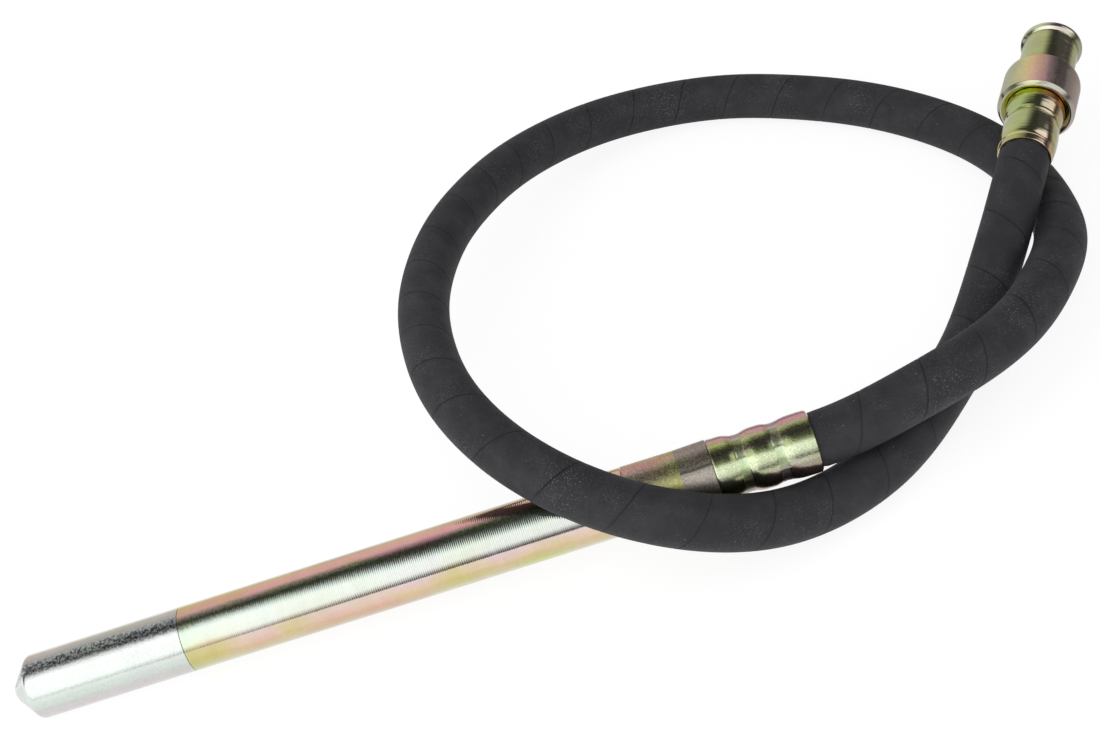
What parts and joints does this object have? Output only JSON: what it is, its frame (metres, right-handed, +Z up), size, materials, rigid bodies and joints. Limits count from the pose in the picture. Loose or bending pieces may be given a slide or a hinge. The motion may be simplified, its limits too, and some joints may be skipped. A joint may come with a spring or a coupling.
{
  "type": "concrete vibrator",
  "caption": "Steel poker head with an eccentric rotor on bearings, driven through a flexible rubber hose by a bayonet-type quick coupling with a dog drive.",
  "frame": {"origin": "on the floor under the middle of the steel head, hose and coupling left out", "axes": "+X along the head from its nose towards the hose, +Z up, +Y away from the picture's camera"},
  "size_m": [0.6921, 0.4434, 0.0963],
  "materials": {
    "nose_zinc": "bright zinc plate",
    "o_ring_rubber": "smooth black rubber",
    "tube_zinc": "bright yellow-passivated zinc plate",
    "front_outer_steel": "ground bearing steel",
    "front_inner_steel": "ground bearing steel",
    "front_ball_steel": "polished balls in a pressed cage",
    "rear_outer_steel": "ground bearing steel",
    "rear_inner_steel": "ground bearing steel",
    "rear_ball_steel": "polished balls in a pressed cage",
    "rotor_steel": "turned and milled steel",
    "rear_circlip_steel": "spring steel",
    "spacer_steel": "turned steel",
    "head_oil_seal_rubber": "moulded black rubber",
    "neck_zinc": "yellow-passivated zinc plate with a matte band",
    "head_core_tip_steel": "milled square on a turned shank",
    "head_ferrule_zinc": "yellow-passivated zinc plate, crimped",
    "hose_rubber": "matte cloth-wrapped black rubber",
    "liner_steel": "wound spring-steel strip",
    "core_steel": "wound wire core",
    "drive_ferrule_zinc": "yellow-passivated zinc plate, crimped",
    "body_zinc": "yellow-passivated zinc plate",
    "collar_zinc": "satin yellow-passivated zinc plate",
    "drive_outer_steel": "ground bearing steel",
    "drive_inner_steel": "ground bearing steel",
    "drive_ball_steel": "polished balls in a pressed cage",
    "spindle_steel": "turned and milled steel",
    "drive_core_tip_steel": "milled square on a turned shank",
    "drive_circlip_steel": "spring steel",
    "drive_oil_seal_rubber": "moulded black rubber"
  },
  "bodies": {
    "vibrator": {"nose_plug": "nose_zinc", "nose_o_ring": "o_ring_rubber", "head_tube": "tube_zinc", "front_bearing_outer": "front_outer_steel", "rear_bearing_outer": "rear_outer_steel", "rear_circlip": "rear_circlip_steel", "spacer_sleeve": "spacer_steel", "head_oil_seal": "head_oil_seal_rubber", "neck_adapter": "neck_zinc", "head_ferrule": "head_ferrule_zinc", "flexible_hose": "hose_rubber", "hose_liner": "liner_steel", "flexible_core": "core_steel", "drive_ferrule": "drive_ferrule_zinc", "coupling_body": "body_zinc", "coupling_collar": "collar_zinc", "drive_bearing_outer": "drive_outer_steel", "drive_circlip": "drive_circlip_steel", "drive_oil_seal": "drive_oil_seal_rubber"},
    "rotor": {"eccentric_rotor": "rotor_steel", "front_bearing_inner": "front_inner_steel", "rear_bearing_inner": "rear_inner_steel", "head_core_tip": "head_core_tip_steel"},
    "front_cage": {"front_bearing_balls": "front_ball_steel"},
    "rear_cage": {"rear_bearing_balls": "rear_ball_steel"},
    "drive": {"drive_spindle": "spindle_steel", "drive_bearing_inner": "drive_inner_steel", "drive_core_tip": "drive_core_tip_steel"},
    "drive_cage": {"drive_bearing_balls": "drive_ball_steel"}
  },
  "joints": [
    {"name": "rotor_spin", "type": "hinge", "parent": "vibrator", "child": "rotor", "pos_m": [-0.01158, 0, 0.02976], "axis": [0.998, 0, 0.0628], "continuous": true},
    {"name": "front_cage_spin", "type": "hinge", "parent": "vibrator", "child": "front_cage", "pos_m": [-0.01158, 0, 0.02976], "axis": [0.998, 0, 0.0628], "continuous": true},
    {"name": "rear_cage_spin", "type": "hinge", "parent": "vibrator", "child": "rear_cage", "pos_m": [-0.01158, 0, 0.02976], "axis": [0.998, 0, 0.0628], "continuous": true},
    {"name": "drive_spin", "type": "hinge", "parent": "vibrator", "child": "drive", "pos_m": [0.43823, 0.24172, 0.05677], "axis": [0.4917, 0.869, 0.0558], "continuous": true},
    {"name": "drive_cage_spin", "type": "hinge", "parent": "vibrator", "child": "drive_cage", "pos_m": [0.43823, 0.24172, 0.05677], "axis": [0.4917, 0.869, 0.0558], "continuous": true}
  ],
  "couplings": [
    {"joint": "front_cage_spin", "follows": "rotor_spin", "ratio": 0.38},
    {"joint": "rear_cage_spin", "follows": "rotor_spin", "ratio": 0.38},
    {"joint": "drive_spin", "follows": "rotor_spin", "ratio": 1},
    {"joint": "drive_cage_spin", "follows": "rotor_spin", "ratio": 0.38}
  ]
}
